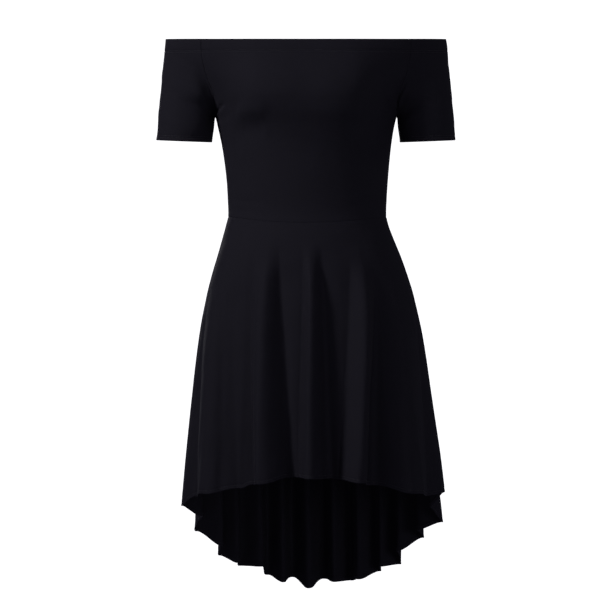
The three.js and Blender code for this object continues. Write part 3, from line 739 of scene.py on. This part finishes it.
# Back skirt. The same jersey, cut longer, sewn to the front skirt down the sides. Its extra
# length swings it out behind in a row of deeper folds, and its inside shows below the front hem.
BACK_FOLDS = [
    {"waist": 90, "hem": 90, "start": 400, "reach": 14, "drop": 742},
    {"waist": 98, "hem": 97, "start": 400, "reach": -10, "drop": 768},
    {"waist": 106, "hem": 104, "start": 380, "reach": 16, "drop": 796},
    {"waist": 113, "hem": 114, "start": 350, "reach": -15, "drop": 810},
    {"waist": 120, "hem": 123, "start": 360, "reach": 16, "drop": 827},
    {"waist": 127, "hem": 131, "start": 340, "reach": -17, "drop": 849},
    {"waist": 134, "hem": 138.5, "start": 380, "reach": 16, "drop": 876},
    {"waist": 141, "hem": 144, "start": 365, "reach": -15, "drop": 879},
    {"waist": 148, "hem": 149, "start": 405, "reach": 15, "drop": 890},
    {"waist": 156, "hem": 156, "start": 350, "reach": -19, "drop": 902},
    {"waist": 163, "hem": 163, "start": 330, "reach": 16, "drop": 908},
    {"waist": 170, "hem": 169, "start": 385, "reach": -18, "drop": 908},
    {"waist": 177, "hem": 175, "start": 420, "reach": 16, "drop": 906},
    {"waist": 184, "hem": 182, "start": 345, "reach": -20, "drop": 919},
    {"waist": 191, "hem": 189, "start": 325, "reach": 17, "drop": 903},
    {"waist": 198, "hem": 195, "start": 370, "reach": -19, "drop": 908},
    {"waist": 205, "hem": 200, "start": 410, "reach": 15, "drop": 898},
    {"waist": 212, "hem": 207, "start": 360, "reach": -18, "drop": 880},
    {"waist": 219, "hem": 214, "start": 335, "reach": 14, "drop": 880},
    {"waist": 226, "hem": 220, "start": 375, "reach": -13, "drop": 872},
    {"waist": 232, "hem": 225, "start": 415, "reach": 15, "drop": 860},
    {"waist": 240, "hem": 233, "start": 345, "reach": -17, "drop": 840},
    {"waist": 248, "hem": 241, "start": 360, "reach": 17, "drop": 815},
    {"waist": 259, "hem": 255, "start": 390, "reach": -14, "drop": 785},
    {"waist": 270, "hem": 270, "start": 380, "reach": 12, "drop": 765},
]
points, drop, above_hem, below_waist, whole, angle = skirt_points(
    BACK_FOLDS, sharpness=0.0, columns_each=11, waist_dip=0.0, row_count=124
)
lift = skirt_lift(points, above_hem, below_waist, whole, angle, 2.2)
skirt_wall = np.where(above_hem < SKIRT_HEM["turned"], SKIRT_HEM["wall"], JERSEY_WALL)
back_skirt = cut_and_close(
    "back_skirt", points, lift, skirt_wall, black_jersey, "skirt_back",
    seams=[
        {"edge": "top", "line": back_bodice["outside"][-1]},
        {"edge": "left", "line": front_skirt["outside"][:, -1]},
        {"edge": "right", "line": front_skirt["outside"][:, 0]},
    ]
)
back_skirt["above_hem"] = above_hem[:, 0]

# Seam allowances. Inside every seam the two cut edges are overlocked together into one narrow
# ribbed strip, which lies flat against the cloth: down the armholes, the sides and the sleeves,
# and round the waist.
ALLOWANCE = {"width": 6.0, "wall": 0.9, "thread_pitch": 2.6, "thread_rise": 0.22, "scallop": 0.3}
BEHIND = {"armhole": 1.2, "side": 1.0, "underarm": 1.8, "waist": 1.0}


def overlock(name, edge, into, normals, behind):
    """One allowance along a seam's edge, in from it by its width, behind the cloth's wall."""
    run = np.linalg.norm(np.diff(edge, axis=0), axis=-1)
    run = np.concatenate([[0], np.cumsum(run)])
    count = int(run[-1] / (ALLOWANCE["thread_pitch"] / 4)) + 2
    at = np.linspace(0, run[-1], count)

    def along(values):
        return np.stack([np.interp(at, run, values[:, i]) for i in range(3)], axis=-1)

    edge, into, normals = along(edge), along(into), along(normals)
    into = into / np.linalg.norm(into, axis=-1, keepdims=True)
    normals = normals / np.linalg.norm(normals, axis=-1, keepdims=True)
    steps = np.array([-1.6, -0.8, 0.2, 1.6, 3.2, 4.6, 5.6, 6.0]) * ALLOWANCE["width"] / 6.0
    depth = behind + np.array([0.25, 0.5, 0.9, 1.0, 0.9, 0.85, 0.85, 0.9])
    wave = np.sin(2 * math.pi * at / ALLOWANCE["thread_pitch"])[:, None]
    outer = np.clip(steps / ALLOWANCE["width"], 0, 1) ** 3
    reach = steps + ALLOWANCE["scallop"] * wave * outer
    rise = depth + ALLOWANCE["thread_rise"] * wave * np.clip(steps / 2, 0, 1)
    points = edge[:, None] + into[:, None] * reach[..., None] - normals[:, None] * rise[..., None]
    flat = np.zeros(points.shape[:2])
    out = cloth_normals(points)
    if (out * normals[:, None]).sum() > 0:
        points = points[:, ::-1]
    return cut_and_close(name, points, flat, ALLOWANCE["wall"], black_jersey)["piece"]


def seam_edge(panel, column, deeper):
    """A panel's seam edge: its line, the way into the panel, and its normals."""
    outside, normals = panel["outside"], panel["normals"]
    return outside[:, column], outside[:, deeper] - outside[:, column], normals[:, deeper]


at_armhole = (front_drops > CASING["height"] + 2) & (front_drops <= UNDERARM_DROP - 1.5)
below_armhole = front_drops >= UNDERARM_DROP
for word, column, deeper in (("right", 0, 5), ("left", -1, -6)):
    edge, into, normals = seam_edge(front_bodice, column, deeper)
    for part, rows, behind in (
        ("armhole_front", at_armhole, BEHIND["armhole"]),
        ("side", below_armhole, BEHIND["side"]),
    ):
        name = f"{word}_{part}_allowance"
        overlock(name, edge[rows], into[rows], normals[rows], behind)
for word, column, deeper in (("left", 0, 5), ("right", -1, -6)):
    edge, into, normals = seam_edge(back_bodice, column, deeper)
    name, rows = f"{word}_armhole_back_allowance", at_armhole
    overlock(name, edge[rows], into[rows], normals[rows], BEHIND["armhole"])
for word, column, deeper in (("left", 0, 5), ("right", -1, -6)):
    edge, into, normals = seam_edge(sleeves[word], column, deeper)
    name, rows = f"{word}_underarm_allowance", sleeve_drops >= UNDERARM_DROP
    overlock(name, edge[rows], into[rows], normals[rows], BEHIND["underarm"])
for word, column, deeper in (("left", 0, 5), ("right", -1, -6)):
    edge, into, normals = seam_edge(back_skirt, column, deeper)
    name, rows = f"{word}_skirt_side_allowance", slice(0, -12)  # it ends above the turned hem
    overlock(name, edge[rows], into[rows], normals[rows], BEHIND["side"])
for word, panel in (("front", front_skirt), ("back", back_skirt)):
    outside, normals = panel["outside"], panel["normals"]
    into = outside[5] - outside[0]
    name = "waist_allowance_" + word
    overlock(name, outside[0], into, normals[5], BEHIND["waist"])

# Stitches. Twin rows of black polyester thread hold the neckline's casing and the sleeve hems,
# and one row the skirt's hem. Each stitch lies on the cloth and dives into it at both ends.
STITCH = {"pitch": 3.0, "length": 2.35, "radius": 0.26, "rise": 0.2}
thread = bpy.data.materials.new("black_thread")
thread.use_nodes = True
shader = thread.node_tree.nodes["Principled BSDF"]
shader.inputs["Roughness"].default_value = 0.55
shader.inputs["Specular IOR Level"].default_value = 0.25
place = thread.node_tree.nodes.new("ShaderNodeTexCoord")
twist = thread.node_tree.nodes.new("ShaderNodeTexNoise")
twist.inputs["Scale"].default_value = 1400.0
tone = thread.node_tree.nodes.new("ShaderNodeValToRGB")
tone.color_ramp.elements[0].color = (0.006, 0.0055, 0.009, 1)
tone.color_ramp.elements[1].color = (0.016, 0.015, 0.021, 1)
thread.node_tree.links.new(place.outputs["Object"], twist.inputs["Vector"])
thread.node_tree.links.new(twist.outputs[0], tone.inputs[0])
thread.node_tree.links.new(tone.outputs[0], shader.inputs["Base Color"])


def row_at(panel, levels, level, inside=False):
    """The line along a panel at one level between two of its rows, and the way out of it."""
    at = float(np.interp(level, levels, np.arange(len(levels))))
    i, t = int(at), at - int(at)
    line = panel["outside"][i] * (1 - t) + panel["outside"][i + 1] * t
    out = panel["normals"][i] * (1 - t) + panel["normals"][i + 1] * t
    if inside:
        wall = np.broadcast_to(panel["wall"], panel["outside"].shape[:2])[i]
        line, out = line - out * wall[:, None], -out
    return line, out


def sew_rows(name, rows):
    """One object of all the stitches along these lines."""
    shares = np.array([-0.5, -0.32, 0.0, 0.32, 0.5]) * STITCH["length"]
    radii = np.array([0.25, 0.85, 1.0, 0.85, 0.25]) * STITCH["radius"]
    heights = np.array([-1.0, 0.55, 1.0, 0.55, -1.0]) * STITCH["rise"]
    sides = 6
    turn = 2 * math.pi * np.arange(sides) / sides
    vertices, faces = [], []
    for line, out in rows:
        run = np.linalg.norm(np.diff(line, axis=0), axis=-1)
        run = np.concatenate([[0], np.cumsum(run)])
        count = int(run[-1] / STITCH["pitch"])
        centres = (np.arange(count) + 0.5) * run[-1] / count
        at = centres[:, None] + shares
        point = np.stack([np.interp(at, run, line[:, i]) for i in range(3)], axis=-1)
        up = np.stack([np.interp(at, run, out[:, i]) for i in range(3)], axis=-1)
        up = up / np.linalg.norm(up, axis=-1, keepdims=True)
        way = point[:, -1:] - point[:, :1] + 0 * point
        beside = np.cross(way, up)
        beside = beside / np.linalg.norm(beside, axis=-1, keepdims=True)
        ring = point + up * heights[:, None]
        ring = ring[:, :, None] + radii[:, None, None] * (
            beside[:, :, None] * np.cos(turn)[:, None] + up[:, :, None] * np.sin(turn)[:, None]
        )
        first = sum(len(part) for part in vertices)
        vertices.append(ring.reshape(-1, 3))
        for stitch in range(count):
            base = first + stitch * len(shares) * sides
            end = base + (len(shares) - 1) * sides
            faces.append([base + k for k in range(sides)])
            faces.append([end + k for k in range(sides - 1, -1, -1)])
            for ring_start in range(base, end, sides):
                for k in range(sides):
                    a, b = ring_start + k, ring_start + (k + 1) % sides
                    faces.append([a, a + sides, b + sides, b])
    mesh = bpy.data.meshes.new(name)
    mesh.from_pydata((np.concatenate(vertices) / 1000).tolist(), [], faces)
    mesh.polygons.foreach_set("use_smooth", np.ones(len(mesh.polygons), bool))
    mesh.materials.append(thread)
    piece = bpy.data.objects.new(name, mesh)
    bpy.context.scene.collection.objects.link(piece)
    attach(piece, "root")


for word, panel, levels, slot in (
    ("front", front_bodice, front_drops, "bodice_front"),
    ("back", back_bodice, front_drops, "bodice_back"),
    ("left_sleeve", sleeves["left"], sleeve_drops, "sleeve_left"),
    ("right_sleeve", sleeves["right"], sleeve_drops, "sleeve_right"),
):
    rows = [row_at(panel, levels, below) for below in CASING["stitches"]]
    sew_rows(word + "_casing_stitches", rows)
for word, sleeve in sleeves.items():
    rows = [row_at(sleeve, sleeve_drops, CUFF["drop"] - above) for above in CUFF["stitches"]]
    sew_rows(word + "_cuff_stitches", rows)
for word, panel in (("front", front_skirt), ("back", back_skirt)):
    levels, level = -panel["above_hem"], -SKIRT_HEM["stitches"]
    rows = [row_at(panel, levels, level), row_at(panel, levels, level, inside=True)]
    sew_rows(word + "_skirt_hem_stitches", rows)

# Floor, light and camera. A pale round floor whose rim fades into a white backdrop, a soft light
# from high on the left in a narrow beam, a weaker one from the front right, three more that mark
# the side, the hem and the back, and a level camera in front. Places and sizes here are in
# metres, apart from the camera's lens and sensor, which are in millimetres.
FLOOR = {"radius": 9.0, "drop": 1.46, "fade_from": 0.8, "fade_to": 4.2}
BACKDROP_RADIUS = 22.0
CAMERA = {"away": 4.5, "drop": 0.4276, "lens": 161.6, "sensor": 36.0}


def white_surface(name, glow):
    """Matte white studio surface, lit by its own glow as well as by the lamps."""
    made = bpy.data.materials.new(name)
    made.use_nodes = True
    shader = made.node_tree.nodes["Principled BSDF"]
    shader.inputs["Base Color"].default_value = (0.9, 0.9, 0.9, 1)
    shader.inputs["Roughness"].default_value = 0.9
    shader.inputs["Specular IOR Level"].default_value = 0.05
    shader.inputs["Emission Color"].default_value = (1, 1, 1, 1)
    shader.inputs["Emission Strength"].default_value = glow
    return made


bpy.ops.mesh.primitive_circle_add(
    vertices=96, radius=FLOOR["radius"], fill_type="NGON", location=(0, 0, -FLOOR["drop"])
)
floor = bpy.context.object
floor.name = "floor"
pale = white_surface("pale_floor", 0.6)
nodes, links = pale.node_tree.nodes, pale.node_tree.links
clear = nodes.new("ShaderNodeBsdfTransparent")
fade = nodes.new("ShaderNodeMixShader")
place = nodes.new("ShaderNodeTexCoord")
distance = nodes.new("ShaderNodeVectorMath")
distance.operation = "LENGTH"
share = nodes.new("ShaderNodeMapRange")
share.interpolation_type = "SMOOTHSTEP"
share.inputs["From Min"].default_value = FLOOR["fade_from"]
share.inputs["From Max"].default_value = FLOOR["fade_to"]
links.new(place.outputs["Object"], distance.inputs[0])
links.new(distance.outputs["Value"], share.inputs["Value"])
links.new(share.outputs["Result"], fade.inputs["Fac"])
links.new(nodes["Principled BSDF"].outputs[0], fade.inputs[1])
links.new(clear.outputs[0], fade.inputs[2])
links.new(fade.outputs[0], nodes["Material Output"].inputs["Surface"])
floor.data.materials.append(pale)
bpy.ops.mesh.primitive_uv_sphere_add(segments=48, ring_count=24, radius=BACKDROP_RADIUS)
backdrop = bpy.context.object
backdrop.name = "backdrop"
backdrop.data.materials.append(white_surface("white_backdrop", 1.1))
for surface in (floor, backdrop):
    surface.visible_diffuse = surface.visible_glossy = surface.visible_shadow = False

sky = bpy.data.worlds.new("studio_air")
sky.use_nodes = True
sky.node_tree.nodes["Background"].inputs["Color"].default_value = (0.9, 0.86, 1.2, 1)
sky.node_tree.nodes["Background"].inputs["Strength"].default_value = 0.1
bpy.context.scene.world = sky


def soft_light(name, place, aim, size, power, spread=180.0):
    """A round soft light at a place, turned to its aim, with its beam's spread in degrees."""
    lamp = bpy.data.lights.new(name, "AREA")
    lamp.shape, lamp.size, lamp.energy = "DISK", size, power
    lamp.spread = math.radians(spread)
    holder = bpy.data.objects.new(name, lamp)
    holder.location = place
    holder.rotation_euler = (Vector(aim) - Vector(place)).to_track_quat("-Z", "Y").to_euler()
    bpy.context.scene.collection.objects.link(holder)


soft_light("key_light", (-3.7, -2.1, 2.3), aim=(0, 0, 0.1), size=1.1, power=11.0, spread=40)
soft_light("fill_light", (2.3, -3.6, -0.2), aim=(0, 0, 0.0), size=2.0, power=4.2, spread=56)
soft_light("side_light", (4.4, 1.4, 1.2), aim=(0, 0, -0.4), size=1.6, power=10)
soft_light("low_light", (-0.4, -3.6, -1.1), aim=(0, 0, -0.6), size=1.0, power=6)
soft_light("back_light", (-1.2, 3.85, 1.8), aim=(0, 0, -0.4), size=0.9, power=135)

lens = bpy.data.cameras.new("camera")
lens.sensor_width = CAMERA["sensor"]
lens.lens = CAMERA["lens"]
camera = bpy.data.objects.new("camera", lens)
camera.location = (0, -CAMERA["away"], -CAMERA["drop"])
camera.rotation_euler = (math.pi / 2, 0, 0)
bpy.context.scene.collection.objects.link(camera)
bpy.context.scene.camera = camera
bpy.context.scene.view_settings.view_transform = "Standard"
